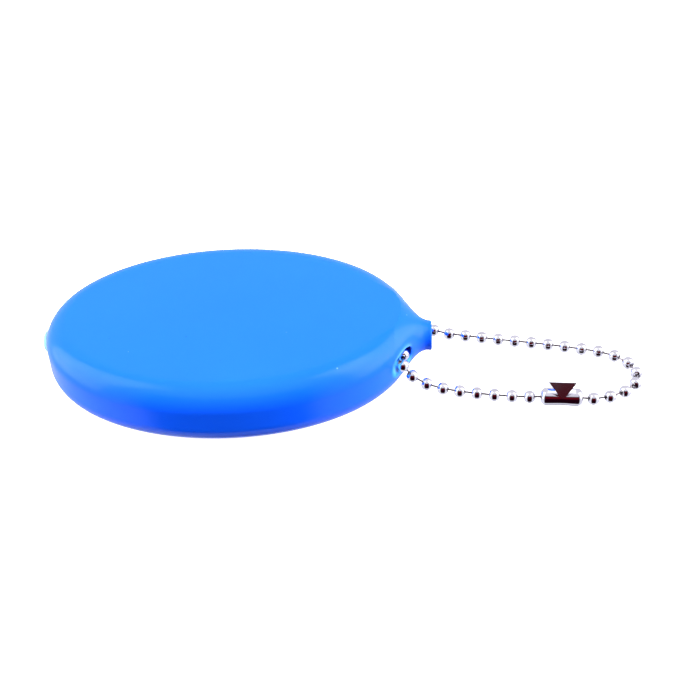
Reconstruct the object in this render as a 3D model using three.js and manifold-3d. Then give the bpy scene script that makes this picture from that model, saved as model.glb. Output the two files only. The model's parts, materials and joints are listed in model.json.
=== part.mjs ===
// Squeeze coin pouch with a bead chain.
// A soft vinyl oval lies on its slit face. The slit's two lips spread when the pouch is squeezed
// end to end. A bead chain runs through the cross hole in the neck, and a snap coupling closes it.
// Millimetres, +Z up, +X from the pouch towards the chain, slit face on z = 0.

import * as THREE from "three";
import { mergeVertices } from "three/addons/utils/BufferGeometryUtils.js";
import Module from "manifold-3d";

const wasm = await Module();
wasm.setup();

// Pouch body
const pouchHalfLength = 35.3;
const pouchHalfWidth = 25.15;
const pouchThickness = 12.4;
const pouchCentreX = -21.3; // puts the middle of pouch and chain together on x = 0
const wallThickness = 2.1;
const midHeight = pouchThickness / 2;
const rimCorner = 4.5; // rounding above and below the rim's upright side
const walkStart = 0.9; // the walk out to the blended surface starts at this share of the rounding
const walkStep = 0.02;
const angleCrowding = 0.75; // crowds the outline's steps towards the neck
const cutMargin = 1; // how far a cutting solid runs past what it cuts

// Neck and its round stub, measured from the pouch's centre
const neckRootX = 32;
const neckRootRadius = 5.1;
const neckRootRise = 0.6; // the neck's root is this much above the rim's middle
const stubDrop = 0.35; // and the stub's end this much below it
const neckBlend = 4.4;
const stubEndX = 39.1;
const stubRadius = 2.7;

// Cross hole for the chain
const holeX = 33.5;
const holeHeight = 6.2;
const holeHalfWidth = 1.5;
const holeHalfTall = 1.85;

// Gate nub, left by the mould at the closed end
const nubRadius = 1.9;
const nubProud = 1;

// Pocket inside, which stops short of the neck
const pocketLeftX = -33.2;
const pocketRightX = 29.9;

// Slit face: the two lips fill an oval in the bottom wall
const lipAreaHalfLength = 25.5;
const lipAreaHalfWidth = 16;
const lipClearance = 0.3;
const slitWidth = 0.4;

// Bead chain
const beadCount = 36;
const beadRadius = 1.2;
const beadWall = 0.25;
const pinRadius = 0.25;
const swivel = { hole: 0.72, head: 0.76, inset: 0 }; // one pin head, centred so that the pin can tilt
const shared = { hole: 0.4, head: 0.42, inset: 0.46 }; // two pin heads, each against its own hole

// Coupling that closes the chain
const couplingRadius = 1.65;
const couplingWall = 0.25;
const couplingHalfLength = 3.9;
const couplingCorner = 0.8;
const couplingEndHole = 0.75;
const couplingBeadOffset = 2.3; // from the coupling's middle to each bead that it holds
const freeBeadOffset = 5.95; // and to the first bead outside it, each way
const couplingWindowHalf = 2.6; // half the window's width, a little outside the tube's wall
const couplingWindowTilt = 38; // degrees from straight up, leaning to the far side

// The chain's route from the coupling's middle, back to the hole, through it and round again.
// Each point is measured from the pouch's centre; the beads are spaced evenly along it.
const chainRoutePoints = [
  [62.8, -14.35, 1.75],
  [60.1, -14.15, 1.75],
  [56.9, -13.6, 1.3],
  [50.5, -12.75, 1.2],
  [44.1, -11.5, 1.2],
  [41.0, -10.6, 1.2],
  [37.9, -9.3, 1.35],
  [35.1, -9.0, 3.2],
  [33.45, -9.1, 5.85],
  [33.5, -6.2, 5.9],
  [33.5, 0, 5.9],
  [33.5, 6.5, 5.9],
  [34.9, 9.8, 3.9],
  [36.9, 8.6, 2.0],
  [39.3, 7.8, 1.4],
  [42.4, 6.6, 1.2],
  [45.6, 5.85, 1.2],
  [52.2, 4.4, 1.2],
  [61.8, 2.4, 1.2],
  [68.1, 0.8, 1.2],
  [71.3, -0.1, 1.2],
  [74.2, -1.5, 1.2],
  [76.5, -3.7, 1.2],
  [77.7, -6.4, 1.2],
  [77.4, -9.6, 1.2],
  [75.2, -12.2, 1.2],
  [72.0, -13.8, 1.2],
  [68.8, -14.5, 1.3],
  [65.5, -14.55, 1.75],
];

const vinyl = new THREE.MeshStandardMaterial({ color: 0x3d97fb, roughness: 0.22, metalness: 0 });
const nickel = new THREE.MeshStandardMaterial({ color: 0xd9d9de, roughness: 0.1, metalness: 1 });

// Turn a closed three.js geometry into a manifold-3d solid.
function toSolid(geometry) {
  geometry.deleteAttribute("normal");
  geometry.deleteAttribute("uv");
  const merged = mergeVertices(geometry, 1e-5);
  return new wasm.Manifold(new wasm.Mesh({
    numProp: 3,
    vertProperties: new Float32Array(merged.attributes.position.array),
    triVerts: new Uint32Array(merged.index.array),
  }));
}

// Turn a solid back into a geometry.
function toGeometry(solid) {
  const result = solid.getMesh();
  const geometry = new THREE.BufferGeometry();
  geometry.setAttribute("position", new THREE.BufferAttribute(result.vertProperties, 3));
  geometry.setIndex(new THREE.BufferAttribute(result.triVerts, 1));
  geometry.computeVertexNormals();
  return geometry;
}

function namedMesh(name, solid, material) {
  const mesh = new THREE.Mesh(toGeometry(solid), material);
  mesh.name = name;
  return mesh;
}

function smoothMin(a, b, blend) {
  const mix = THREE.MathUtils.clamp(0.5 + (0.5 * (b - a)) / blend, 0, 1);
  return b + (a - b) * mix - blend * mix * (1 - mix);
}

// Distance from the neck: a round post that flares into the pouch.
function neckDistance(point) {
  const along = THREE.MathUtils.clamp((point.x - neckRootX) / (stubEndX - neckRootX), 0, 1);
  const radius = stubRadius + (neckRootRadius - stubRadius) * (1 - along) ** 2;
  const middle = midHeight + neckRootRise - (neckRootRise + stubDrop) * along;
  const radial = Math.hypot(point.y, point.z - middle) - radius;
  return Math.max(radial, point.x - stubEndX, neckRootX / 2 - point.x);
}

// An oval slab with rounded edges. Each rim point is found by walking out from the flat face's
// edge, square to it, to the surface. With a neck, the walk ends on the blend of rim and neck.
// The first half of the rings goes round the upper edge and the second half round the lower one.
function ovalGeometry({ halfLength, halfWidth, halfThickness, corner, centreX, neck, steps, edgeRings }) {
  const spineX = halfLength - corner;
  const spineY = halfWidth - corner;
  const direction = new THREE.Vector3();
  const point = new THREE.Vector3();
  const positions = [centreX, 0, midHeight + halfThickness];
  const rings = 2 * edgeRings;

  for (let ring = 0; ring < rings; ring++) {
    const upper = ring < edgeRings;
    const share = (upper ? ring : rings - 1 - ring) / (edgeRings - 1);
    const tilt = ((upper ? 1 : -1) * Math.PI * (1 - share)) / 2;
    const height = midHeight + (upper ? 1 : -1) * (halfThickness - corner);
    for (let step = 0; step < steps; step++) {
      const even = (2 * Math.PI * step) / steps;
      const angle = neck ? even - angleCrowding * Math.sin(even) : even;
      const normal = new THREE.Vector2(spineY * Math.cos(angle), spineX * Math.sin(angle)).normalize();
      const start = new THREE.Vector3(spineX * Math.cos(angle), spineY * Math.sin(angle), height);
      start.x += centreX;
      direction.set(normal.x * Math.cos(tilt), normal.y * Math.cos(tilt), Math.sin(tilt));
      let reach = corner;
      if (neck) {
        const outside = (distance) => {
          point.copy(start).addScaledVector(direction, distance);
          return smoothMin(distance - corner, neckDistance(point), neckBlend) > 0;
        };
        reach = corner * walkStart;
        while (!outside(reach)) reach += walkStep;
      }
      point.copy(start).addScaledVector(direction, reach);
      const z = THREE.MathUtils.clamp(point.z, midHeight - halfThickness, midHeight + halfThickness);
      positions.push(point.x, point.y, z);
    }
  }
  positions.push(centreX, 0, midHeight - halfThickness);

  const indices = [];
  const last = positions.length / 3 - 1;
  const at = (ring, step) => 1 + ring * steps + (step % steps);
  for (let step = 0; step < steps; step++) {
    indices.push(0, at(0, step), at(0, step + 1));
    for (let ring = 0; ring < rings - 1; ring++) {
      indices.push(at(ring, step), at(ring + 1, step), at(ring + 1, step + 1));
      indices.push(at(ring, step), at(ring + 1, step + 1), at(ring, step + 1));
    }
    indices.push(last, at(rings - 1, step + 1), at(rings - 1, step));
  }
  const geometry = new THREE.BufferGeometry();
  geometry.setAttribute("position", new THREE.Float32BufferAttribute(positions, 3));
  geometry.setIndex(indices);
  return geometry;
}

// The oval through the bottom wall that the two lips fill.
function lipOpening() {
  const oval = new THREE.Shape().absellipse(0, 0, lipAreaHalfLength, lipAreaHalfWidth, 0, 2 * Math.PI);
  const geometry = new THREE.ExtrudeGeometry(oval, {
    depth: wallThickness + 2 * cutMargin,
    curveSegments: 24,
    bevelEnabled: false,
  });
  return toSolid(geometry.translate(0, 0, -cutMargin));
}

function crossHole() {
  const oval = new THREE.Shape();
  const straight = holeHalfTall - holeHalfWidth;
  oval.absarc(0, straight, holeHalfWidth, 0, Math.PI);
  oval.absarc(0, -straight, holeHalfWidth, Math.PI, 2 * Math.PI);
  const depth = 2 * (pouchHalfWidth + cutMargin);
  const geometry = new THREE.ExtrudeGeometry(oval, { depth, curveSegments: 8, bevelEnabled: false });
  geometry.rotateX(Math.PI / 2);
  return toSolid(geometry.translate(holeX, depth / 2, holeHeight));
}

function gateNub() {
  const depth = 2 * cutMargin;
  const geometry = new THREE.CylinderGeometry(nubRadius, nubRadius, depth, 16);
  geometry.rotateZ(Math.PI / 2);
  return toSolid(geometry.translate(depth / 2 - pouchHalfLength - nubProud, 0, midHeight));
}

function pouchShell() {
  const outside = toSolid(ovalGeometry({
    halfLength: pouchHalfLength,
    halfWidth: pouchHalfWidth,
    halfThickness: pouchThickness / 2,
    corner: rimCorner,
    centreX: 0,
    neck: true,
    steps: 64,
    edgeRings: 7,
  }));
  const pocket = toSolid(ovalGeometry({
    halfLength: (pocketRightX - pocketLeftX) / 2,
    halfWidth: pouchHalfWidth - wallThickness,
    halfThickness: pouchThickness / 2 - wallThickness,
    corner: rimCorner - wallThickness,
    centreX: (pocketRightX + pocketLeftX) / 2,
    neck: false,
    steps: 40,
    edgeRings: 5,
  }));
  return outside.add(gateNub()).subtract(pocket).subtract(lipOpening()).subtract(crossHole());
}

// One lip of the slit: half of the oval, with room all round. side is -1 at the front, +1 behind.
function lip(side) {
  const halfLength = lipAreaHalfLength - lipClearance;
  const halfWidth = lipAreaHalfWidth - lipClearance;
  const edgeAngle = Math.asin(slitWidth / 2 / halfWidth);
  const outline = new THREE.Shape();
  outline.absellipse(0, 0, halfLength, halfWidth, edgeAngle, Math.PI - edgeAngle);
  const geometry = new THREE.ExtrudeGeometry(outline, {
    depth: wallThickness,
    curveSegments: 20,
    bevelEnabled: false,
  });
  if (side < 0) geometry.rotateZ(Math.PI);
  return toSolid(geometry);
}

const chainRoute = new THREE.CatmullRomCurve3(
  chainRoutePoints.map((point) => new THREE.Vector3(...point)),
  true,
  "centripetal",
);
chainRoute.arcLengthDivisions = 2000;

// Bead 1 and the last bead sit in the coupling, on either side of the route's start.
function beadCentres() {
  const length = chainRoute.getLength();
  const pitch = (length - 2 * freeBeadOffset) / (beadCount - 3);
  const centres = [chainRoute.getPointAt(couplingBeadOffset / length)];
  for (let bead = 0; bead < beadCount - 2; bead++) {
    centres.push(chainRoute.getPointAt((freeBeadOffset + bead * pitch) / length));
  }
  centres.push(chainRoute.getPointAt(1 - couplingBeadOffset / length));
  for (const centre of centres) centre.z = Math.max(centre.z, beadRadius); // none sinks below z = 0
  return centres;
}

// Each pin is one solid with the bead that is further from the hole's middle, and its head turns
// inside the nearer bead. middleBead is in the middle of the hole and holds two heads, endBead is
// at the loop's far end and has two pins of its own.
const middleBead = 13;
const endBead = 31;

function pinTargets(bead) {
  if (bead < middleBead) return [bead + 1];
  if (bead === middleBead || bead === beadCount) return [];
  if (bead < endBead) return [bead - 1];
  if (bead === endBead) return [bead - 1, bead + 1];
  return [bead + 1];
}

function pointAlong(geometry, direction) {
  const turn = new THREE.Quaternion().setFromUnitVectors(new THREE.Vector3(0, 1, 0), direction);
  return geometry.applyQuaternion(turn);
}

function arcPoints(radius, from, to, steps) {
  const points = [];
  for (let step = 0; step <= steps; step++) {
    const angle = from + ((to - from) * step) / steps;
    points.push(new THREE.Vector2(Math.max(radius * Math.cos(angle), 0), radius * Math.sin(angle)));
  }
  return points;
}

// A thin bead, open towards each pin head that it holds.
function beadShell(openDirections) {
  if (openDirections.length === 0) return toSolid(new THREE.SphereGeometry(beadRadius, 8, 6));
  const inside = beadRadius - beadWall;
  const through = openDirections.length === 2;
  const hole = through ? shared.hole : swivel.hole;
  const outerEdge = Math.acos(hole / beadRadius);
  const innerEdge = Math.acos(hole / inside);
  const outerStart = through ? -outerEdge : -Math.PI / 2;
  const innerStart = through ? -innerEdge : -Math.PI / 2;
  const profile = arcPoints(beadRadius, outerStart, outerEdge, 5);
  profile.push(...arcPoints(inside, innerEdge, innerStart, 4));
  if (through) profile.push(profile[0].clone());
  return toSolid(pointAlong(new THREE.LatheGeometry(profile, 8), openDirections[0]));
}

// A pin from inside this bead's wall to its head, in the other bead.
function connectingPin(offset, seat) {
  const length = offset.length() - seat.inset;
  const neckAngle = -Math.acos(pinRadius / seat.head);
  const profile = arcPoints(seat.head, Math.PI / 2, neckAngle, 3).reverse();
  profile.unshift(new THREE.Vector2(pinRadius, beadRadius - beadWall / 2 - length));
  profile.unshift(new THREE.Vector2(0, beadRadius - beadWall / 2 - length));
  const geometry = new THREE.LatheGeometry(profile, 6).translate(0, length, 0);
  return toSolid(pointAlong(geometry, offset.clone().normalize()));
}

function chainBeads(centres) {
  const meshes = [];
  for (let bead = 1; bead <= beadCount; bead++) {
    const centre = centres[bead - 1];
    const openDirections = [];
    for (const neighbour of [bead - 1, bead + 1]) {
      if (neighbour >= 1 && neighbour <= beadCount && pinTargets(neighbour).includes(bead)) {
        openDirections.push(centres[neighbour - 1].clone().sub(centre).normalize());
      }
    }
    let solid = beadShell(openDirections);
    for (const target of pinTargets(bead)) {
      const seat = target === middleBead ? shared : swivel;
      solid = solid.add(connectingPin(centres[target - 1].clone().sub(centre), seat));
    }
    const mesh = namedMesh(`bead_${String(bead).padStart(2, "0")}`, solid, nickel);
    mesh.position.copy(centre);
    meshes.push(mesh);
  }
  return meshes;
}

// A rolled sheet tube with rounded ends, a hole in each for the pin, and a V window on one side.
function couplingSolid(axis) {
  const middle = new THREE.Vector2(couplingRadius - couplingCorner, couplingHalfLength - couplingCorner);
  const corner = (radius, from, to, side) => {
    const centre = new THREE.Vector2(middle.x, side * middle.y);
    return arcPoints(radius, from, to, 3).map((point) => point.add(centre));
  };
  const right = Math.PI / 2;
  const inner = couplingCorner - couplingWall;
  const profile = [
    new THREE.Vector2(couplingEndHole, -couplingHalfLength),
    ...corner(couplingCorner, -right, 0, -1),
    ...corner(couplingCorner, 0, right, 1),
    new THREE.Vector2(couplingEndHole, couplingHalfLength),
    new THREE.Vector2(couplingEndHole, couplingHalfLength - couplingWall),
    ...corner(inner, right, 0, 1),
    ...corner(inner, 0, -right, -1),
    new THREE.Vector2(couplingEndHole, -couplingHalfLength + couplingWall),
    new THREE.Vector2(couplingEndHole, -couplingHalfLength),
  ];
  const tube = toSolid(new THREE.LatheGeometry(profile, 16));

  const window = new THREE.Shape();
  window.moveTo(0, 0);
  window.lineTo(couplingRadius + cutMargin, couplingWindowHalf);
  window.lineTo(couplingRadius + cutMargin, -couplingWindowHalf);
  window.closePath();
  const depth = 2 * (couplingRadius + cutMargin);
  const wedge = new THREE.ExtrudeGeometry(window, { depth, bevelEnabled: false });
  const solid = tube.subtract(toSolid(wedge.translate(0, 0, -depth / 2)));

  const tilt = THREE.MathUtils.degToRad(couplingWindowTilt);
  const up = new THREE.Vector3(0, Math.sin(tilt), Math.cos(tilt));
  const side = new THREE.Vector3().crossVectors(up, axis).normalize();
  const windowWay = new THREE.Vector3().crossVectors(axis, side).normalize();
  const turn = new THREE.Matrix4().makeBasis(windowWay, axis, side);
  return toSolid(toGeometry(solid).applyMatrix4(turn));
}

const object = new THREE.Group();
object.position.x = pouchCentreX;

const pouch = new THREE.Group();
pouch.add(namedMesh("pouch_shell", pouchShell(), vinyl));
pouch.add(namedMesh("lip_front", lip(-1), vinyl));
pouch.add(namedMesh("lip_back", lip(1), vinyl));
object.add(pouch);

const chain = new THREE.Group();
const centres = beadCentres();
chain.add(...chainBeads(centres));
const couplingAxis = centres[beadCount - 1].clone().sub(centres[0]).normalize();
const coupling = namedMesh("coupling", couplingSolid(couplingAxis), nickel);
coupling.position.copy(centres[0]).add(centres[beadCount - 1]).multiplyScalar(0.5);
chain.add(coupling);
object.add(chain);

export default object;
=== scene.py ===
import json
import math

import bpy
import numpy as np
from mathutils import Matrix, Vector


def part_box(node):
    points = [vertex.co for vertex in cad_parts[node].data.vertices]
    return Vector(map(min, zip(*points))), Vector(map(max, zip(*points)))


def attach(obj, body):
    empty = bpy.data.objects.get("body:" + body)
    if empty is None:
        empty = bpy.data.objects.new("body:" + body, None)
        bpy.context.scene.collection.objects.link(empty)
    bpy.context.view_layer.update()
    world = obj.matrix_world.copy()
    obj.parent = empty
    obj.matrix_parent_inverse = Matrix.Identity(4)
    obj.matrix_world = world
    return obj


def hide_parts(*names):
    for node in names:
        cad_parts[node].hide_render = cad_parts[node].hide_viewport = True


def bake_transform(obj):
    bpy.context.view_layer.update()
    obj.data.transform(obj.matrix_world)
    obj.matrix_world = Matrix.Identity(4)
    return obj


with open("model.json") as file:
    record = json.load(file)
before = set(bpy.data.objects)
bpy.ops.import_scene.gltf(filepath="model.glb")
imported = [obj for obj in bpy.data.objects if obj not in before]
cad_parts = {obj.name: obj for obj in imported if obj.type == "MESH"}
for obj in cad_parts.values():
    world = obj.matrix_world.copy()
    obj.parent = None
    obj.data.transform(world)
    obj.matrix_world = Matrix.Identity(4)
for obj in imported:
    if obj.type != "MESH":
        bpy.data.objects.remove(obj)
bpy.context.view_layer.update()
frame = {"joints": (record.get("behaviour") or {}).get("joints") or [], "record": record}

mm = 0.001  # every shape below is worked out in millimetres
bodies = frame["record"]["behaviour"]["bodies"]
bodyOfNode = {node: body for body, nodes in bodies.items() for node in nodes}

# The pouch is described from its own centre; middleX brings it to its place in the frame.
pouch = {
    "halfLength": 35.3,
    "wall": 2.1,
    "stubEnd": 39.1,
    "stubRadius": 2.62,
    "stubFlare": 0.33,  # the stub's end is this much thicker
    "stubDrop": 0.35,  # and its middle this much below the rim's
    "stubEdge": 0.35,  # rounding of the stub's end
    "corner": 4.5,  # rounding of the rim above and below its upright side
    "neckStart": 32.0,
    "neckRadius": 5.1,
    "neckRise": 0.6,  # the neck's root is this much above the rim's middle
    "neckWiden": 0.3,  # how much wider than tall the neck's root is
    "neckBlend": 4.4,
    "nubRadius": 1.7,
    "nubRounding": 0.45,
    "nubBlend": 1.9,
    "nubInset": 0.13,  # the blend itself adds this much length
    "pocketLeft": -33.2,
    "pocketRight": 29.9,
}
shellLow, shellHigh = (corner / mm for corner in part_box("pouch_shell"))
middleX = shellHigh.x - pouch["stubEnd"]
rim = shellHigh.z / 2  # the middle height, and half the thickness
halfWidth = shellHigh.y
nubTip = shellLow.x - middleX

tunnel = {"x": 33.45, "z": 6.1, "halfWide": 1.45, "halfTall": 1.75, "flare": 0.9}


def smoothMin(a, b, blend):
    mix = np.clip(0.5 + 0.5 * (b - a) / blend, 0, 1)
    return b + (a - b) * mix - blend * mix * (1 - mix)


def smoothMax(a, b, blend):
    return -smoothMin(-a, -b, blend)


def ellipseDistance(x, y, a, b):
    # how far outside an ellipse each point is, by a few Newton steps along its parameter
    x, y = np.abs(x), np.abs(y)
    turn = np.arctan2(y * a, x * b)
    for _ in range(9):
        offX, offY = a * np.cos(turn) - x, b * np.sin(turn) - y
        slope = -offX * a * np.sin(turn) + offY * b * np.cos(turn)
        bend = (a * np.sin(turn)) ** 2 + (b * np.cos(turn)) ** 2
        bend = bend - offX * a * np.cos(turn) - offY * b * np.sin(turn)
        turn = np.clip(turn - slope / np.maximum(np.abs(bend), 1e-6), 0, math.pi / 2)
    away = np.hypot(a * np.cos(turn) - x, b * np.sin(turn) - y)
    return np.where((x / a) ** 2 + (y / b) ** 2 < 1, -away, away)


def ovalDistance(x, y, z, a, b, half, corner):
    # an oval slab with rounded edges; a and b are its half length and half width
    plan = ellipseDistance(x, y, a - corner, b - corner)
    up = np.abs(z - rim) - half + corner
    return np.hypot(np.maximum(plan, 0), np.maximum(up, 0)) + np.minimum(np.maximum(plan, up), 0) - corner


def skinDistance(x, y, z):
    body = ovalDistance(x, y, z, pouch["halfLength"], halfWidth, rim, pouch["corner"])
    along = np.clip((x - pouch["neckStart"]) / (pouch["stubEnd"] - pouch["neckStart"]), 0, 1)
    radius = pouch["stubRadius"] + (pouch["neckRadius"] - pouch["stubRadius"]) * (1 - along) ** 2
    radius = radius + pouch["stubFlare"] * along ** 6
    wide = 1 + pouch["neckWiden"] * (1 - along) ** 3
    middle = rim + pouch["neckRise"] - (pouch["neckRise"] + pouch["stubDrop"]) * along
    neck = smoothMax(np.hypot(y / wide, z - middle) - radius, x - pouch["stubEnd"], pouch["stubEdge"])
    neck = np.maximum(neck, pouch["neckStart"] / 2 - x)
    body = smoothMin(body, neck, pouch["neckBlend"])
    body = np.maximum(body, np.abs(z - rim) - rim)
    nubMiddle = nubTip + 2 * pouch["nubRounding"] + pouch["nubInset"]
    nubDepth = np.abs(x - nubMiddle) - pouch["nubRounding"]
    nubAcross = np.hypot(y, z - rim) - pouch["nubRadius"] + pouch["nubRounding"]
    nub = np.hypot(np.maximum(nubDepth, 0), np.maximum(nubAcross, 0)) - pouch["nubRounding"]
    return smoothMin(body, nub, pouch["nubBlend"])


def tunnelDistance(x, z):
    straight = tunnel["halfTall"] - tunnel["halfWide"]
    return np.hypot(x - tunnel["x"], np.maximum(np.abs(z - tunnel["z"]) - straight, 0)) - tunnel["halfWide"]


def outerDistance(x, y, z):
    skin = skinDistance(x, y, z)
    return smoothMax(skin, -tunnelDistance(x, z), tunnel["flare"])


def pocketDistance(x, y, z):
    middle = (pouch["pocketLeft"] + pouch["pocketRight"]) / 2
    a = (pouch["pocketRight"] - pouch["pocketLeft"]) / 2
    wall = pouch["wall"]
    return ovalDistance(x - middle, y, z, a, halfWidth - wall, rim - wall, pouch["corner"] - wall)


def pouchDistance(x, y, z):
    return np.maximum(outerDistance(x, y, z), -pocketDistance(x, y, z))


def slope(distance, points, step=0.01):
    parts = []
    for axis in range(3):
        shift = np.zeros(3)
        shift[axis] = step
        parts.append(distance(*(points + shift).T) - distance(*(points - shift).T))
    return np.array(parts).T / (2 * step)


def surfaceNet(distance, axes):
    # one vertex in each cell that the surface passes through, one quad round each crossed grid edge
    values = distance(axes[0][:, None, None], axes[1][None, :, None], axes[2][None, None, :])
    inside = values < 0
    cells = tuple(len(a) - 1 for a in axes)
    total, count = np.zeros(cells + (3,)), np.zeros(cells)
    quads = []
    crossings = []
    for axis in range(3):
        low = [slice(None)] * 3
        high = [slice(None)] * 3
        low[axis], high[axis] = slice(0, -1), slice(1, None)
        a, b = values[tuple(low)], values[tuple(high)]
        crossed = inside[tuple(low)] != inside[tuple(high)]
        share = np.where(crossed, a / np.where(crossed, a - b, 1), 0)
        place = np.stack(np.meshgrid(*[c[s] for c, s in zip(axes, low)], indexing="ij"), -1)
        place[..., axis] += share * np.moveaxis(np.diff(axes[axis])[:, None, None], 0, axis)
        crossings.append(crossed)
        u, v = (axis + 1) % 3, (axis + 2) % 3
        for du in (0, 1):
            for dv in (0, 1):
                part = [slice(None)] * 3
                part[u] = slice(du, cells[u] + du)
                part[v] = slice(dv, cells[v] + dv)
                here = crossed[tuple(part)]
                total += place[tuple(part)] * here[..., None]
                count += here
    index = np.full(cells, -1)
    index[count > 0] = np.arange(int((count > 0).sum()))
    vertices = total[count > 0] / count[count > 0][:, None]
    for axis, crossed in enumerate(crossings):
        u, v = (axis + 1) % 3, (axis + 2) % 3
        at = np.argwhere(crossed)
        corners = []
        for du, dv in ((1, 1), (0, 1), (0, 0), (1, 0)):
            cell = at.copy()
            cell[:, u] -= du
            cell[:, v] -= dv
            corners.append(index[tuple(cell.T)])
        corners = np.array(corners).T
        flip = ~inside[tuple(at.T)]
        corners[flip] = corners[flip][:, ::-1]
        quads.append(corners)
    return vertices, np.concatenate(quads)


def newPiece(name, points, faces, smooth=True):
    mesh = bpy.data.meshes.new(name)
    corners = [tuple(p) for p in np.asarray(points) * mm]
    mesh.from_pydata(corners, [], [tuple(int(i) for i in f) for f in faces])
    mesh.validate()
    mesh.polygons.foreach_set("use_smooth", [smooth] * len(mesh.polygons))
    mesh.update()
    piece = bpy.data.objects.new(name, mesh)
    bpy.context.scene.collection.objects.link(piece)
    return piece


def cut(piece, cutter):
    step = piece.modifiers.new("cut", "BOOLEAN")
    step.object, step.operation, step.solver = cutter, "DIFFERENCE", "EXACT"
    bpy.context.view_layer.update()
    shaped = piece.evaluated_get(bpy.context.evaluated_depsgraph_get())
    mesh = bpy.data.meshes.new_from_object(shaped)
    old = piece.data
    piece.modifiers.clear()
    piece.data = mesh
    bpy.data.meshes.remove(old)
    bpy.data.objects.remove(cutter)
    mesh.name = piece.name
    return piece


def blockPiece(name, low, high):
    sides = list(zip(low, high))
    corners = [(x, y, z) for x in sides[0] for y in sides[1] for z in sides[2]]
    faces = [(0, 1, 3, 2), (4, 6, 7, 5), (0, 4, 5, 1), (2, 3, 7, 6), (0, 2, 6, 4), (1, 5, 7, 3)]
    return newPiece(name, corners, faces, smooth=False)


def addNode(tree, kind, inputs=None, **settings):
    node = tree.nodes.new(kind)
    for name, value in settings.items():
        setattr(node, name, value)
    for name, value in (inputs or {}).items():
        if isinstance(value, bpy.types.NodeSocket):
            tree.links.new(value, node.inputs[name])
        else:
            node.inputs[name].default_value = value
    return node


def newGroup(name, sockets):
    # sockets are (in or out, name, kind, default)
    group = bpy.data.node_groups.new(name, "ShaderNodeTree")
    for way, label, kind, value in sockets:
        socket = group.interface.new_socket(label, in_out=way, socket_type="NodeSocket" + kind)
        if value is not None:
            socket.default_value = value
    return group, group.nodes.new("NodeGroupInput").outputs, group.nodes.new("NodeGroupOutput").inputs


def makeSpecks():
    # small dots scattered over a surface: Mask is 1 on a dot, for dust and for moulding specks
    group, given, made = newGroup("specks", [
        ("INPUT", "Place", "Vector", None),
        ("INPUT", "Per metre", "Float", 400.0),
        ("INPUT", "Size", "Float", 0.12),
        ("INPUT", "Share", "Float", 0.2),
        ("OUTPUT", "Mask", "Float", None),
    ])
    dots = addNode(group, "ShaderNodeTexVoronoi", {"Vector": given["Place"], "Scale": given["Per metre"]})
    tone = addNode(group, "ShaderNodeSeparateColor", {"Color": dots.outputs["Color"]})
    shown = addNode(group, "ShaderNodeMath", {0: tone.outputs[0], 1: given["Share"]}, operation="LESS_THAN")
    size = addNode(group, "ShaderNodeMath", {0: tone.outputs[1], 1: given["Size"]}, operation="MULTIPLY")
    dot = addNode(group, "ShaderNodeMapRange", {
        "Value": dots.outputs["Distance"], "From Min": 0.0, "From Max": size.outputs[0],
        "To Min": 1.0, "To Max": 0.0}, interpolation_type="SMOOTHSTEP")
    both = addNode(group, "ShaderNodeMath", {0: dot.outputs[0], 1: shown.outputs[0]}, operation="MULTIPLY")
    group.links.new(both.outputs[0], made["Mask"])
    return group


def makeSmudges():
    # soft patches where a surface has been handled, and hair-fine rub lines
    group, given, made = newGroup("smudges", [
        ("INPUT", "Place", "Vector", None),
        ("INPUT", "Patches per metre", "Float", 60.0),
        ("INPUT", "Lines per metre", "Float", 500.0),
        ("OUTPUT", "Patches", "Float", None),
        ("OUTPUT", "Lines", "Float", None),
    ])
    cloud = addNode(group, "ShaderNodeTexNoise", {
        "Vector": given["Place"], "Scale": given["Patches per metre"], "Detail": 4.0, "Roughness": 0.55})
    patches = addNode(group, "ShaderNodeMapRange", {
        "Value": cloud.outputs["Fac"], "From Min": 0.42, "From Max": 0.66}, interpolation_type="SMOOTHSTEP")
    streaks = addNode(group, "ShaderNodeMapping", {"Vector": given["Place"], "Scale": (0.06, 1.0, 1.0)})
    rubbed = addNode(group, "ShaderNodeTexNoise", {
        "Vector": streaks.outputs[0], "Scale": given["Lines per metre"], "Detail": 2.0, "Distortion": 0.6})
    lines = addNode(group, "ShaderNodeMapRange", {
        "Value": rubbed.outputs["Fac"], "From Min": 0.62, "From Max": 0.72},
        interpolation_type="SMOOTHSTEP")
    group.links.new(patches.outputs[0], made["Patches"])
    group.links.new(lines.outputs[0], made["Lines"])
    return group


def placed(tree, group, place, **inputs):
    given = {"Place": place, **{name.replace("_", " "): value for name, value in inputs.items()}}
    return addNode(tree, "ShaderNodeGroup", given, node_tree=group).outputs


def blendColour(tree, share, a, b):
    node = addNode(tree, "ShaderNodeMix", data_type="RGBA")
    for socket, value in ((node.inputs[0], share), (node.inputs[6], a), (node.inputs[7], b)):
        if isinstance(value, bpy.types.NodeSocket):
            tree.links.new(value, socket)
        else:
            socket.default_value = value
    return node.outputs[2]


def newMaterial(name):
    material = bpy.data.materials.new(name)
    material.use_nodes = True
    tree = material.node_tree
    surface = tree.nodes["Principled BSDF"]
    place = addNode(tree, "ShaderNodeTexCoord").outputs["Object"]
    return material, tree, surface, place


vinylLook = {
    "colour": (0.004, 0.1, 0.96, 1),
    "cloudy": (0.005, 0.112, 0.97, 1),
    "thin": (0.3, 0.6, 0.95, 1),  # the gate nub, where the vinyl is thin and blushed
    "mouthHighlight": (0.07, 0.36, 0.97, 1),  # painted highlight: a lighter blue on the flared edge of the cross hole, standing in for light caught by its rounded rim
    "gloss": 0.36,
    "glossTint": (0.6, 0.88, 1, 1),
    "roughness": 0.11,
    "handled": 0.07,  # how much rougher the handled patches are
    "index": 1.5,
}


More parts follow.
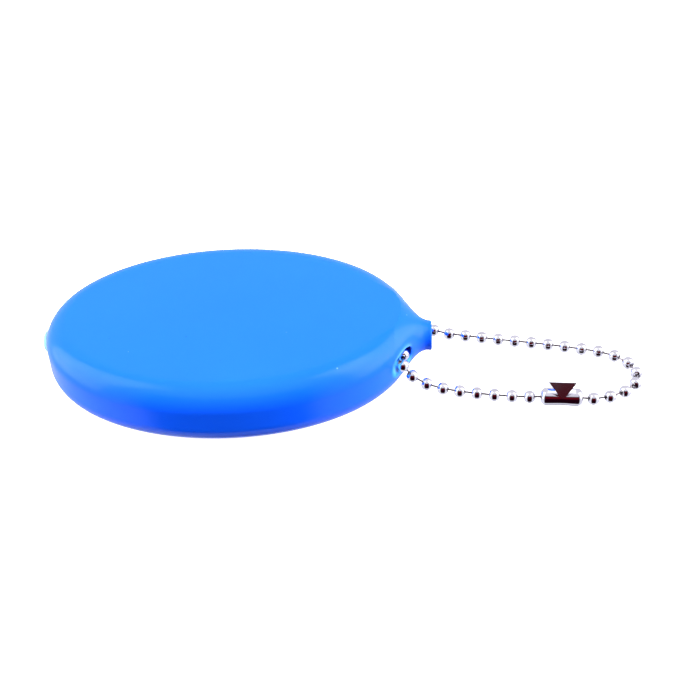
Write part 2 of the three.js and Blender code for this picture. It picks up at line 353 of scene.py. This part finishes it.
def vinylMaterial(specks, smudges):
    material, tree, surface, place = newMaterial("softVinyl")
    cloud = addNode(tree, "ShaderNodeTexNoise", {"Vector": place, "Scale": 45.0, "Detail": 3.0})
    colour = blendColour(tree, cloud.outputs["Fac"], vinylLook["colour"], vinylLook["cloudy"])
    dark = placed(tree, specks, place, Per_metre=420.0, Size=0.13, Share=0.2)["Mask"]
    darker = addNode(tree, "ShaderNodeMath", {0: dark, 1: 0.6}, operation="MULTIPLY")
    colour = blendColour(tree, darker.outputs[0], colour, (0.001, 0.03, 0.5, 1))
    dust = placed(tree, specks, place, Per_metre=310.0, Size=0.12, Share=0.12)["Mask"]
    dusty = addNode(tree, "ShaderNodeMath", {0: dust, 1: 0.5}, operation="MULTIPLY")
    colour = blendColour(tree, dusty.outputs[0], colour, (0.3, 0.6, 0.95, 1))
    across = addNode(tree, "ShaderNodeVectorMath", {
        0: place, 1: ((middleX + nubTip) * mm, 0, rim * mm)}, operation="DISTANCE")
    nub = addNode(tree, "ShaderNodeMapRange", {
        "Value": across.outputs["Value"], "From Min": 1.5 * mm, "From Max": 3.2 * mm,
        "To Min": 1.0, "To Max": 0.0}, interpolation_type="SMOOTHSTEP")
    colour = blendColour(tree, nub.outputs[0], colour, vinylLook["thin"])
    # painted highlight: a lighter ring of colour round the cross hole's mouth on the outer skin, where
    # light catches the rounded rim
    flat = addNode(tree, "ShaderNodeVectorMath", {0: place, 1: (1, 0, 0.72)}, operation="MULTIPLY")
    fromTunnel = addNode(tree, "ShaderNodeVectorMath", {
        0: flat.outputs[0], 1: ((middleX + tunnel["x"]) * mm, 0, 0.72 * tunnel["z"] * mm)},
        operation="DISTANCE")
    mouthHighlight = addNode(tree, "ShaderNodeMapRange", {
        "Value": fromTunnel.outputs["Value"], "From Min": 1.45 * mm, "From Max": 2.3 * mm,
        "To Min": 1.0, "To Max": 0.0}, interpolation_type="SMOOTHSTEP")
    side = addNode(tree, "ShaderNodeSeparateXYZ", {"Vector": place})
    away = addNode(tree, "ShaderNodeMath", {0: side.outputs["Y"]}, operation="ABSOLUTE")
    outer = addNode(tree, "ShaderNodeMapRange", {
        "Value": away.outputs[0], "From Min": 4.5 * mm, "From Max": 5.5 * mm},
        interpolation_type="SMOOTHSTEP")
    ring = addNode(tree, "ShaderNodeMath", {0: mouthHighlight.outputs[0], 1: outer.outputs[0]}, operation="MULTIPLY")
    colour = blendColour(tree, ring.outputs[0], colour, vinylLook["mouthHighlight"])
    tree.links.new(colour, surface.inputs["Base Color"])

    marks = placed(tree, smudges, place, Patches_per_metre=70.0, Lines_per_metre=700.0)
    rough = addNode(tree, "ShaderNodeMapRange", {
        "Value": marks["Patches"], "To Min": vinylLook["roughness"],
        "To Max": vinylLook["roughness"] + vinylLook["handled"]})
    tree.links.new(rough.outputs[0], surface.inputs["Roughness"])
    grain = addNode(tree, "ShaderNodeTexNoise", {"Vector": place, "Scale": 2600.0, "Detail": 2.0})
    waves = addNode(tree, "ShaderNodeTexNoise", {"Vector": place, "Scale": 130.0, "Detail": 1.0})
    height = addNode(tree, "ShaderNodeMath", {0: waves.outputs["Fac"], 1: 6.0, 2: grain.outputs["Fac"]},
                     operation="MULTIPLY_ADD")
    for mask, rise in ((dark, -1.5), (dust, 2.0), (marks["Lines"], -0.5)):
        height = addNode(tree, "ShaderNodeMath", {0: mask, 1: rise, 2: height.outputs[0]},
                         operation="MULTIPLY_ADD")
    bump = addNode(tree, "ShaderNodeBump", {
        "Height": height.outputs[0], "Distance": 0.00001, "Strength": 0.35})
    tree.links.new(bump.outputs[0], surface.inputs["Normal"])
    surface.inputs["IOR"].default_value = vinylLook["index"]
    surface.inputs["Specular IOR Level"].default_value = vinylLook["gloss"]
    surface.inputs["Specular Tint"].default_value = vinylLook["glossTint"]
    surface.inputs["Subsurface Weight"].default_value = 0.08
    surface.inputs["Subsurface Radius"].default_value = (0.2, 0.6, 1.0)
    surface.inputs["Subsurface Scale"].default_value = 0.0012
    return material


def nickelMaterial(name, smudges, specks, look):
    material, tree, surface, place = newMaterial(name)
    marks = placed(tree, smudges, place, Patches_per_metre=look["patches"],
                   Lines_per_metre=look["lines"])
    colour = blendColour(tree, marks["Patches"], look["bright"], look["worn"])
    tree.links.new(colour, surface.inputs["Base Color"])
    rough = addNode(tree, "ShaderNodeMapRange", {
        "Value": marks["Patches"], "To Min": look["roughness"],
        "To Max": look["roughness"] + 0.05})
    tree.links.new(rough.outputs[0], surface.inputs["Roughness"])
    pits = placed(tree, specks, place, Per_metre=1500.0, Size=0.2, Share=0.1)["Mask"]
    height = addNode(tree, "ShaderNodeMath", {0: pits, 1: -0.6, 2: marks["Lines"]},
                     operation="MULTIPLY_ADD")
    bump = addNode(tree, "ShaderNodeBump", {
        "Height": height.outputs[0], "Distance": 0.000004, "Strength": 0.3})
    tree.links.new(bump.outputs[0], surface.inputs["Normal"])
    surface.inputs["Metallic"].default_value = 1.0
    return material


specks = makeSpecks()
smudges = makeSmudges()
softVinyl = vinylMaterial(specks, smudges)
beadNickel = nickelMaterial("beadNickel", smudges, specks, {
    "bright": (0.9, 0.89, 0.92, 1), "worn": (0.8, 0.78, 0.82, 1),
    "patches": 500.0, "lines": 2500.0, "roughness": 0.05})
pinSteel = nickelMaterial("pinSteel", smudges, specks, {
    "bright": (0.4, 0.35, 0.38, 1), "worn": (0.24, 0.2, 0.22, 1),
    "patches": 900.0, "lines": 3000.0, "roughness": 0.12})
sheetNickel = nickelMaterial("sheetNickel", smudges, specks, {
    "bright": (0.88, 0.87, 0.9, 1), "worn": (0.74, 0.72, 0.77, 1),
    "patches": 420.0, "lines": 1800.0, "roughness": 0.06})
print("materials made")

def gridLine(low, high, breaks):
    # breaks are (from, step): the grid step changes at each
    line = [low]
    while line[-1] < high:
        step = [s for start, s in breaks if line[-1] >= start - 1e-9][-1]
        line.append(line[-1] + step)
    return np.array(line)


def setNormals(piece, distance, offset):
    # the exact surface's own normals, except on faces that a cut made
    mesh = piece.data
    points = np.zeros(len(mesh.vertices) * 3)
    mesh.vertices.foreach_get("co", points)
    points = points.reshape(-1, 3) / mm - offset
    normals = slope(distance, points)
    normals /= np.maximum(np.linalg.norm(normals, axis=1), 1e-9)[:, None]
    near = np.abs(distance(*points.T)) < 0.02
    corner = np.zeros(len(mesh.loops), int)
    mesh.loops.foreach_get("vertex_index", corner)
    faceNormal = np.zeros(len(mesh.polygons) * 3)
    mesh.polygons.foreach_get("normal", faceNormal)
    size = np.zeros(len(mesh.polygons), int)
    mesh.polygons.foreach_get("loop_total", size)
    faceNormal = np.repeat(faceNormal.reshape(-1, 3), size, axis=0)
    use = near[corner] & ((normals[corner] * faceNormal).sum(1) > 0.6)
    mesh.normals_split_custom_set(np.where(use[:, None], normals[corner], faceNormal).tolist())


lips = {
    "halfLong": 18.2,  # the part of the slit whose lips bend away
    "slitHalf": 24.0,
    "slitGap": 0.16,
    "edgeRound": 0.55,
    "edgeFade": 4.0,  # the rounding dies away over this length at each end
    "rows": 36,
    "columns": 40,
    "crowding": 1.6,  # closer columns towards the slit
}
hingeY = abs(next(j for j in frame["joints"] if j["name"] == "slit_open")["pos_m"][1]) / mm


def buildPouch():
    axes = [
        gridLine(nubTip - 0.9, pouch["stubEnd"] + 0.9, [(-99, 0.34), (-33, 0.56), (27, 0.28)]),
        gridLine(-halfWidth - 0.83, halfWidth + 0.83, [(-99, 0.48), (-12.5, 0.32), (12.5, 0.48)]),
        gridLine(-0.77, 2 * rim + 0.77, [(-99, 0.35)]),
    ]
    points, faces = surfaceNet(pouchDistance, axes)
    for _ in range(4):
        way = slope(pouchDistance, points)
        lengthSquared = np.maximum((way ** 2).sum(1), 0.2)
        points -= way * (pouchDistance(*points.T) / lengthSquared)[:, None]
    offset = np.array([middleX, 0, 0])
    shell = newPiece("pouchShell", points + offset, faces)
    across = lips["halfLong"]
    below = 1  # how far the cutting blocks start below the slit face
    low, high = (middleX - across, -hingeY, -below), (middleX + across, hingeY, rim / 2)
    shell = cut(shell, blockPiece("lipSpace", low, high))
    for side in (-1, 1):
        ends = sorted((side * (across - 1), side * lips["slitHalf"]))
        low = (middleX + ends[0], -lips["slitGap"] / 2, -below)
        high = (middleX + ends[1], lips["slitGap"] / 2, rim / 2)
        shell = cut(shell, blockPiece("slitEnd", low, high))
    shell.data.polygons.foreach_set("use_smooth", [True] * len(shell.data.polygons))
    setNormals(shell, pouchDistance, offset)
    shell.data.materials.clear()
    shell.data.materials.append(softVinyl)
    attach(shell, "pouch")
    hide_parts("pouch_shell")


def buildLip(name, sideY, sideX):
    # a quarter of the slit's area: a slab from the hinge line to the slit, whose free edge is rounded
    rows, columns = lips["rows"], lips["columns"]
    wall = pouch["wall"]
    share = np.linspace(0, 1, columns + 1)
    fromHinge = hingeY - (hingeY - lips["slitGap"] / 2) * (1 - (1 - share) ** lips["crowding"])
    points, faces = [], []
    for row in range(rows + 1):
        x = lips["halfLong"] * row / rows
        fade = np.clip((lips["halfLong"] - x) / lips["edgeFade"], 0, 1)
        curve = lips["edgeRound"] * fade * fade * (3 - 2 * fade) + 0.001
        lower = [(y, rounding(y - lips["slitGap"] / 2, curve)) for y in fromHinge]
        upper = [(y, wall - rounding(y - lips["slitGap"] / 2, curve)) for y in fromHinge[::-1]]
        ring = lower + upper
        points += [(middleX + sideX * x, sideY * y, z) for y, z in ring]
    count = len(ring)
    for row in range(rows):
        for i in range(count):
            a, b = row * count + i, row * count + (i + 1) % count
            faces.append((a, b, b + count, a + count))
    half = count // 2
    for start in (0, rows * count):
        for i in range(half - 1):
            quad = (start + i, start + i + 1, start + count - 2 - i, start + count - 1 - i)
            faces.append(quad[::-1] if start == 0 else quad)
    if sideX * sideY > 0:
        faces = [f[::-1] for f in faces]
    lip = newPiece(name, points, faces)
    lip.data.set_sharp_from_angle(angle=math.radians(40))
    lip.data.materials.append(softVinyl)
    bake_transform(lip)
    return lip


def rounding(inward, radius):
    if inward >= radius:
        return 0.0
    return radius - math.sqrt(max(radius ** 2 - (radius - inward) ** 2, 0))


buildPouch()
for body, sideY, word in (("lip_front", -1, "Front"), ("lip_back", 1, "Back")):
    for sideX, end in ((-1, "Left"), (1, "Right")):
        lip = buildLip("lip" + word + end, sideY, sideX)
        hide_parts(body)
print("pouch and lips made")

# The chain's route from the coupling's middle round through the tunnel, from the pouch's centre.
chainRoute = [
    (62.8, -14.35, 1.75), (60.1, -14.15, 1.75), (56.9, -13.6, 1.3), (50.5, -12.75, 1.2),
    (44.1, -11.5, 1.2), (41.0, -10.6, 1.2), (37.9, -9.3, 1.35), (35.1, -9.0, 3.2),
    (33.45, -9.1, 5.85), (33.5, -6.2, 5.9), (33.5, 0, 5.9), (33.5, 6.5, 5.9),
    (34.9, 9.8, 3.9), (36.9, 8.6, 2.0), (39.3, 7.8, 1.4), (42.4, 6.6, 1.2),
    (45.6, 5.85, 1.2), (52.2, 4.4, 1.2), (61.8, 2.4, 1.2), (68.1, 0.8, 1.2),
    (71.3, -0.1, 1.2), (74.2, -1.5, 1.2), (76.5, -3.7, 1.2), (77.7, -6.4, 1.2),
    (77.4, -9.6, 1.2), (75.2, -12.2, 1.2), (72.0, -13.8, 1.2), (68.8, -14.5, 1.3),
    (65.5, -14.55, 1.75),
]
beads = {
    "count": 36,
    "radius": 1.2,
    "wall": 0.2,
    "hole": 0.53,
    "collar": 0.07,  # the metal is drawn in a little round each hole
    "seam": 1.6,  # degrees of gap where the rolled bead closes
    "innerOffset": 2.3,  # from the coupling's middle to the bead that it holds
    "freeOffset": 5.95,  # and to the first bead outside it
    "around": 40,
    "along": 20,
}
pins = {"wire": 0.19, "head": 0.66, "headLong": 0.55, "around": 20}


def routePoints(steps=100):
    given = np.array(chainRoute) + (middleX, 0, 0)
    count = len(given)
    points = []
    for i in range(count):
        p = [given[(i + k - 1) % count] for k in range(4)]
        d = [max(np.linalg.norm(b - a), 1e-9) ** 0.5 for a, b in zip(p, p[1:])]
        leave = (p[1] - p[0]) / d[0] - (p[2] - p[0]) / (d[0] + d[1]) + (p[2] - p[1]) / d[1]
        arrive = (p[2] - p[1]) / d[1] - (p[3] - p[1]) / (d[1] + d[2]) + (p[3] - p[2]) / d[2]
        leave, arrive = leave * d[1], arrive * d[1]
        for s in np.arange(steps) / steps:
            bend = (-3 * p[1] + 3 * p[2] - 2 * leave - arrive) * s ** 2
            points.append(p[1] + leave * s + bend + (2 * p[1] - 2 * p[2] + leave + arrive) * s ** 3)
    return np.array(points + [points[0]])


def beadCentres():
    route = routePoints()
    travelled = np.concatenate([[0], np.cumsum(np.linalg.norm(np.diff(route, axis=0), axis=1))])
    length = travelled[-1]
    spaced = np.linspace(beads["freeOffset"], length - beads["freeOffset"], beads["count"] - 2)
    at = np.concatenate([[beads["innerOffset"]], spaced, [length - beads["innerOffset"]]])
    centres = np.array([np.interp(at, travelled, route[:, k]) for k in range(3)]).T
    centres[:, 2] = np.maximum(centres[:, 2], beads["radius"])
    return centres


def axisFrame(axis, up=(0, 0, 1)):
    # columns: across, side, along the axis
    along = Vector(axis).normalized()
    side = along.cross(Vector(up)).normalized()
    return np.array([side.cross(along), side, along]).T


def rolledPiece(name, outer, inner, degrees, around, turn, centre):
    # a wall between two profiles of (radius, along), swept round the axis with a gap for the seam
    rings, count = around + 1, len(outer)
    loop = list(outer) + list(inner)[::-1]
    points, faces = [], []
    for ring in range(rings):
        angle = math.radians(degrees) / 2 + (2 * math.pi - math.radians(degrees)) * ring / around
        points += [(r * math.cos(angle), r * math.sin(angle), h) for r, h in loop]
    size = len(loop)
    for ring in range(rings - 1):
        for i in range(size):
            a, b = ring * size + i, ring * size + (i + 1) % size
            faces.append((a, b, b + size, a + size)[::-1])
    for start in (0, (rings - 1) * size):
        for i in range(count - 1):
            quad = (start + i, start + i + 1, start + size - 2 - i, start + size - 1 - i)
            faces.append(quad if start == 0 else quad[::-1])
    return newPiece(name, np.array(points) @ turn.T + centre, faces)


def beadProfile(radius, hole, collar):
    # the bead's outline from one hole to the other, drawn in a little at the holes
    edge = math.asin(hole / radius)
    steps = np.linspace(edge, math.pi - edge, beads["along"] + 1)
    fromEdge = np.minimum(steps - edge, math.pi - edge - steps)
    drawn = collar * np.exp(-(fromEdge / 0.16) ** 2)
    return [((radius - d) * math.sin(s), (radius - d) * math.cos(s)) for s, d in zip(steps, drawn)]


def buildBead(number, centre, axis):
    name = f"bead{number:02d}"
    outer = beadProfile(beads["radius"], beads["hole"], beads["collar"])
    inner = beadProfile(beads["radius"] - beads["wall"], beads["hole"], beads["collar"])
    rollAway = (0, 0.35 * math.sin(number * 2.4), 1)  # each bead has turned its own way
    turn = axisFrame(axis, up=rollAway) @ rotationAbout(number * 137.5)
    bead = rolledPiece(name, outer, inner, beads["seam"], beads["around"], turn, centre)
    bead.data.set_sharp_from_angle(angle=math.radians(50))
    bead.data.materials.append(beadNickel)
    node = f"bead_{number:02d}"
    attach(bead, bodyOfNode[node])
    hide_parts(node)


def rotationAbout(degrees):
    return np.array(Matrix.Rotation(math.radians(degrees), 3, "Z"))


def buildPin(number, start, end, body):
    # a wire with a domed head at each end, which turns inside its bead
    length = float(np.linalg.norm(end - start))
    headBack = math.sqrt(pins["head"] ** 2 - pins["wire"] ** 2) * pins["headLong"]
    half = [(0.0, -pins["headLong"] * pins["head"])]
    for step in np.linspace(-math.pi / 2, math.acos(pins["wire"] / pins["head"]), 8)[1:]:
        half.append((pins["head"] * math.cos(step), pins["head"] * pins["headLong"] * math.sin(step)))
    half += [(pins["wire"] * 1.12, headBack + 0.12), (pins["wire"], headBack + 0.3)]
    profile = half + [(r, length - h) for r, h in half[::-1]]
    around = pins["around"]
    points = [(0, 0, profile[0][1])]
    for r, h in profile[1:-1]:
        points += [(r * math.cos(2 * math.pi * i / around), r * math.sin(2 * math.pi * i / around), h)
                   for i in range(around)]
    points.append((0, 0, profile[-1][1]))
    faces, last = [], len(points) - 1
    ringCount = len(profile) - 2
    for i in range(around):
        j = (i + 1) % around
        faces.append((0, 1 + j, 1 + i))
        for ring in range(ringCount - 1):
            a = 1 + ring * around
            faces.append((a + i, a + j, a + around + j, a + around + i))
        top = 1 + (ringCount - 1) * around
        faces.append((top + i, top + j, last))
    pin = newPiece(f"pin{number:02d}", np.array(points) @ axisFrame(end - start).T + start, faces)
    pin.data.materials.append(pinSteel)
    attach(pin, body)


centres = beadCentres()
middleBead, endBead = 13, 31  # in the tunnel's middle and at the loop's far end
nearMouthBead, farMouthBead = 10, 16  # their holes point into the tunnel, whatever the chain does outside
for number in range(1, beads["count"] + 1):
    before = centres[max(number - 2, 0)]
    after = centres[min(number, beads["count"] - 1)]
    if number == nearMouthBead:
        after = centres[number - 1]
    if number == farMouthBead:
        before = centres[number - 1]
    buildBead(number, centres[number - 1], after - before)
for number in range(1, beads["count"]):
    owner = number + 1 if middleBead <= number < endBead else number
    buildPin(number, centres[number - 1], centres[number], bodyOfNode[f"bead_{owner:02d}"])
print("chain made")

coupling = {
    "radius": 1.68,
    "sheet": 0.22,
    "halfLength": 3.9,
    "corner": 1.05,
    "endHole": 0.66,
    "waist": 0.1,
    "seam": 2.4,
    "windowHalf": 1.75,
    "windowDeep": 2.0,
    "windowTilt": 38.0,  # degrees from straight up, leaning to the far side
    "around": 72,
}


def couplingProfile(radius, halfLength, corner, hole):
    points = [(hole, -halfLength)]
    for angle in np.linspace(-math.pi / 2, 0, 9):
        out, along = corner * math.cos(angle), corner * math.sin(angle)
        points.append((radius - corner + out, -halfLength + corner + along))
    straight = np.linspace(-halfLength + corner, 0, 8)[1:]
    points += [(radius - coupling["waist"] * (1 + math.cos(math.pi * h / (halfLength - corner))) / 2, h)
               for h in straight]
    return points + [(r, -h) for r, h in points[-2::-1]]


def windowCutter(depth, half, turn, centre):
    # a V across the tube, rounded at its bottom, open upwards
    reach = coupling["radius"] + 1
    bottom = coupling["radius"] - depth
    curve = [(bottom + 0.28 * (1 - math.cos(a)), 0.42 * math.sin(a)) for a in np.linspace(-1.25, 1.25, 9)]
    outline = [(reach, -half * 1.45)] + curve + [(reach, half * 1.45)]
    count = len(outline)
    points = [(u, side * 3.0, h) for side in (-1, 1) for u, h in outline]
    faces = [tuple(range(count))[::-1], tuple(range(count, 2 * count))]
    faces += [(i, (i + 1) % count, (i + 1) % count + count, i + count) for i in range(count)]
    return newPiece("windowCutter", np.array(points) @ turn.T + centre, faces, smooth=False)


def buildCoupling():
    axis = centres[-1] - centres[0]
    centre = (centres[-1] + centres[0]) / 2
    tilt = math.radians(coupling["windowTilt"])
    turn = axisFrame(axis, up=(0, math.sin(tilt), math.cos(tilt)))
    size = [coupling[name] for name in ("radius", "halfLength", "corner")]
    outer = couplingProfile(*size, coupling["endHole"])
    inner = couplingProfile(*[value - coupling["sheet"] for value in size], coupling["endHole"])
    piece = rolledPiece("coupling", outer, inner, coupling["seam"], coupling["around"], turn, centre)
    piece = cut(piece, windowCutter(coupling["windowDeep"], coupling["windowHalf"], turn, centre))
    piece.name = "couplingTube"
    piece.data.polygons.foreach_set("use_smooth", [True] * len(piece.data.polygons))
    piece.data.set_sharp_from_angle(angle=math.radians(35))
    piece.data.materials.clear()
    piece.data.materials.append(sheetNickel)
    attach(piece, "coupling")
    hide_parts("coupling")


buildCoupling()
print("coupling made")

studio = {
    "wall": (0.76, 0.75, 0.86),
    "glint": (2.0, 2.0, 2.0),  # the brightest that a lamp looks in a reflection
    "floorSeen": 0.9,
    "floorGlow": 1.0,  # the ground is so bright that shadows on it hardly show
    "floorHalf": 1500,
    "floorDrop": 0.02,  # keeps the ground just under the slit face
}
# Patches of light and dark round the object, each laid over those before it, in degrees:
# bearing (0 in front, 90 to the right), half width, height above the horizon, half height,
# soft edge, colour.
patches = [
    (0, 360, -50, 46, 5, (0.86, 0.87, 1.0)),
    (-90, 22, 30, 34, 7, (12.5, 12.6, 12.8)),
    (90, 23, 32, 36, 7, (12.2, 12.3, 12.5)),
    (0, 360, 90, 13, 4, (0.95, 0.95, 0.98)),
    (0, 360, -90, 12, 6, (0.36, 0.36, 0.42)),
    (-3, 41, -8, 51, 8, (0.012, 0.0, 0.004)),
    (0, 26, 22, 13, 8, (0.12, 0.003, 0.009)),
]


def buildWorld():
    world = bpy.data.worlds.new("studioLight")
    bpy.context.scene.world = world
    world.use_nodes = True
    tree = world.node_tree
    tree.nodes.clear()
    way = addNode(tree, "ShaderNodeTexCoord").outputs["Generated"]
    parts = addNode(tree, "ShaderNodeSeparateXYZ", {"Vector": way}).outputs
    nearer = addNode(tree, "ShaderNodeMath", {0: parts["Y"], 1: -1.0}, operation="MULTIPLY").outputs[0]
    bearing = addNode(tree, "ShaderNodeMath", {0: parts["X"], 1: nearer}, operation="ARCTAN2").outputs[0]
    height = addNode(tree, "ShaderNodeMath", {0: parts["Z"]}, operation="ARCSINE").outputs[0]
    colour = studio["wall"] + (1,)
    for bearingAt, halfWide, heightAt, halfTall, soft, light in patches:
        mask = 1.0
        for value, middle, half in ((bearing, bearingAt, halfWide), (height, heightAt, halfTall)):
            off = addNode(tree, "ShaderNodeMath", {0: value, 1: math.radians(middle)},
                          operation="SUBTRACT")
            size = addNode(tree, "ShaderNodeMath", {0: off.outputs[0]}, operation="ABSOLUTE")
            edge = addNode(tree, "ShaderNodeMapRange", {
                "Value": size.outputs[0], "From Min": math.radians(half - soft),
                "From Max": math.radians(half + soft), "To Min": 1.0, "To Max": 0.0},
                interpolation_type="SMOOTHSTEP")
            both = addNode(tree, "ShaderNodeMath", {0: mask, 1: edge.outputs[0]}, operation="MULTIPLY")
            mask = both.outputs[0]
        colour = blendColour(tree, mask, colour, light + (1,))
    rays = addNode(tree, "ShaderNodeLightPath").outputs
    soft = addNode(tree, "ShaderNodeVectorMath", {0: colour, 1: studio["glint"]}, operation="MINIMUM")
    colour = blendColour(tree, rays["Is Glossy Ray"], colour, soft.outputs[0])
    colour = blendColour(tree, rays["Is Camera Ray"], colour, (1, 1, 1, 1))
    background = addNode(tree, "ShaderNodeBackground", {"Color": colour, "Strength": 1.0})
    output = addNode(tree, "ShaderNodeOutputWorld")
    tree.links.new(background.outputs[0], output.inputs["Surface"])


def buildFloor():
    size = studio["floorHalf"]
    floor = newPiece("floor", [(-size, -size, 0), (size, -size, 0), (size, size, 0), (-size, size, 0)],
                     [(0, 1, 2, 3)], smooth=False)
    floor.location.z = -studio["floorDrop"] * mm
    material, tree, surface, place = newMaterial("paleFloor")
    grain = addNode(tree, "ShaderNodeTexNoise", {"Vector": place, "Scale": 30.0})
    pale = studio["floorSeen"]
    colour = blendColour(tree, grain.outputs["Fac"], (pale, pale, pale, 1), (pale, pale, pale * 1.01, 1))
    tree.links.new(colour, surface.inputs["Base Color"])
    tree.links.new(colour, surface.inputs["Emission Color"])
    surface.inputs["Emission Strength"].default_value = studio["floorGlow"]
    surface.inputs["Roughness"].default_value = 1.0
    surface.inputs["Specular IOR Level"].default_value = 0.0
    floor.data.materials.append(material)
    floor.visible_diffuse = False  # the light from below comes from the patches instead
    floor.visible_glossy = False


cameraPlace = {
    "target": (2.063, 3.385, 0.0),
    "distance": 256.0,
    "azimuth": 2.794,
    "elevation": 37.772,
    "roll": -2.869,
    "lens": 66.244,
    "sensor": 36.0,
    "shift": -0.00232,
}


def buildCamera():
    azimuth, elevation = (math.radians(cameraPlace[name]) for name in ("azimuth", "elevation"))
    back = Vector((math.sin(azimuth) * math.cos(elevation), -math.cos(azimuth) * math.cos(elevation),
                   math.sin(elevation)))
    level = Vector((math.cos(azimuth), math.sin(azimuth), 0))
    roll = Matrix.Rotation(math.radians(cameraPlace["roll"]), 3, back)
    right = roll @ level
    up = back.cross(right)
    place = Vector(cameraPlace["target"]) + back * cameraPlace["distance"]
    data = bpy.data.cameras.new("camera")
    data.lens, data.sensor_width = cameraPlace["lens"], cameraPlace["sensor"]
    data.shift_x = cameraPlace["shift"]
    data.clip_start, data.clip_end = 0.01, 10
    camera = bpy.data.objects.new("camera", data)
    bpy.context.scene.collection.objects.link(camera)
    turned = Matrix((right, up, back)).transposed().to_4x4()
    turned.translation = place * mm
    camera.matrix_world = turned
    bpy.context.scene.camera = camera


buildWorld()
buildFloor()
buildCamera()
bpy.context.scene.view_settings.view_transform = "Standard"
print("studio made")
